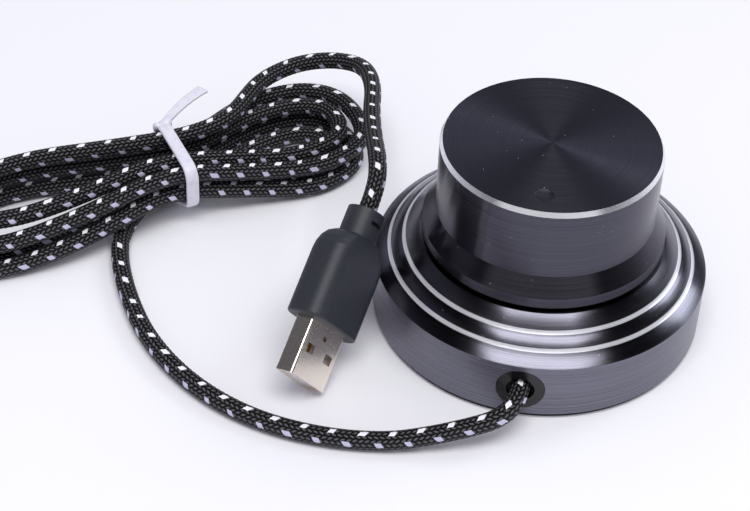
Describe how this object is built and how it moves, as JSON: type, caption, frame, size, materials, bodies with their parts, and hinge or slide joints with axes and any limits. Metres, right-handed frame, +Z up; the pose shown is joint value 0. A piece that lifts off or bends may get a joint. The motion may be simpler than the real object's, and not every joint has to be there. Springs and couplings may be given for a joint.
{
  "type": "usb volume control knob",
  "caption": "Desktop knob that turns without end and presses down to click, on a round grooved base, with a braided cord tied in a hank and ending in a flat plug.",
  "frame": {"origin": "centre of the underside of the foot pad, on the surface that the base stands on", "axes": "+Z up along the knob's axis; the cord leaves the base toward -Y; +X to the right seen from the cord's side"},
  "size_m": [0.178, 0.1134, 0.0437],
  "materials": {
    "anodised_base": "turned aluminium, black anodised, satin",
    "plate_steel": "black painted steel, matt",
    "screw_steel": "zinc-plated steel",
    "foot_rubber": "black silicone, matt",
    "anodised_knob": "turned aluminium, black anodised, satin, with a cut bright edge",
    "hub_plastic": "black moulded nylon",
    "shaft_steel": "ground steel",
    "die_cast": "die-cast zinc",
    "encoder_plastic": "black moulded plastic",
    "bracket_steel": "tinned sheet steel",
    "spring_bronze": "phosphor bronze",
    "plunger_plastic": "white moulded plastic",
    "terminal_tin": "tinned brass",
    "board_laminate": "green solder mask on glass laminate",
    "chip_epoxy": "black epoxy with tinned legs",
    "crystal_can": "nickel-plated can",
    "connector_nylon": "natural nylon",
    "wire_pvc": "PVC insulation",
    "gland_rubber": "black rubber, glossy",
    "cord_braid": "black braided nylon with white flecks",
    "nylon_black": "black nylon",
    "tie_vinyl": "white vinyl over wire",
    "mould_pvc": "black moulded PVC, fine grain",
    "plug_nickel": "nickel-plated steel",
    "tongue_plastic": "white moulded plastic",
    "contact_gold": "gold-plated contacts"
  },
  "bodies": {
    "base": {"base_shell": "anodised_base", "base_plate": "plate_steel", "foot_pad": "foot_rubber", "plate_screws": "screw_steel", "encoder_bushing": "die_cast", "encoder_washer": "screw_steel", "encoder_nut": "screw_steel", "encoder_housing": "encoder_plastic", "encoder_bracket": "bracket_steel", "detent_spring": "spring_bronze", "switch_base": "encoder_plastic", "switch_dome": "spring_bronze", "encoder_terminals": "terminal_tin", "circuit_board": "board_laminate", "board_screws": "screw_steel", "controller_chip": "chip_epoxy", "crystal": "crystal_can", "board_header": "connector_nylon", "cord_connector": "connector_nylon", "cord_wires": "wire_pvc", "cord_inside": "cord_braid", "cord_stop_tie": "nylon_black", "cord_gland": "gland_rubber", "cord_lead": "cord_braid", "cord_hank": "cord_braid", "cord_tail": "cord_braid", "cord_tie": "tie_vinyl", "plug_overmould": "mould_pvc", "plug_shell": "plug_nickel", "plug_tongue": "tongue_plastic", "plug_contacts": "contact_gold"},
    "rotor": {"encoder_rotor": "encoder_plastic"},
    "knob": {"knob_cap": "anodised_knob", "knob_hub": "hub_plastic", "encoder_shaft": "shaft_steel", "shaft_clip": "shaft_steel"},
    "plunger": {"switch_plunger": "plunger_plastic"}
  },
  "joints": [
    {"name": "knob_turn", "type": "hinge", "parent": "base", "child": "rotor", "pos_m": [0, 0, 0.0145], "axis": [0, 0, 1], "continuous": true},
    {"name": "knob_press", "type": "slide", "parent": "rotor", "child": "knob", "axis": [0, 0, -1], "range_m": [0, 0.0005], "stiffness_N_per_m": 2000, "springref_m": -0.002},
    {"name": "plunger_press", "type": "slide", "parent": "base", "child": "plunger", "axis": [0, 0, -1], "range_m": [0, 0.0005]}
  ],
  "couplings": [
    {"joint": "plunger_press", "follows": "knob_press", "ratio": 1}
  ]
}
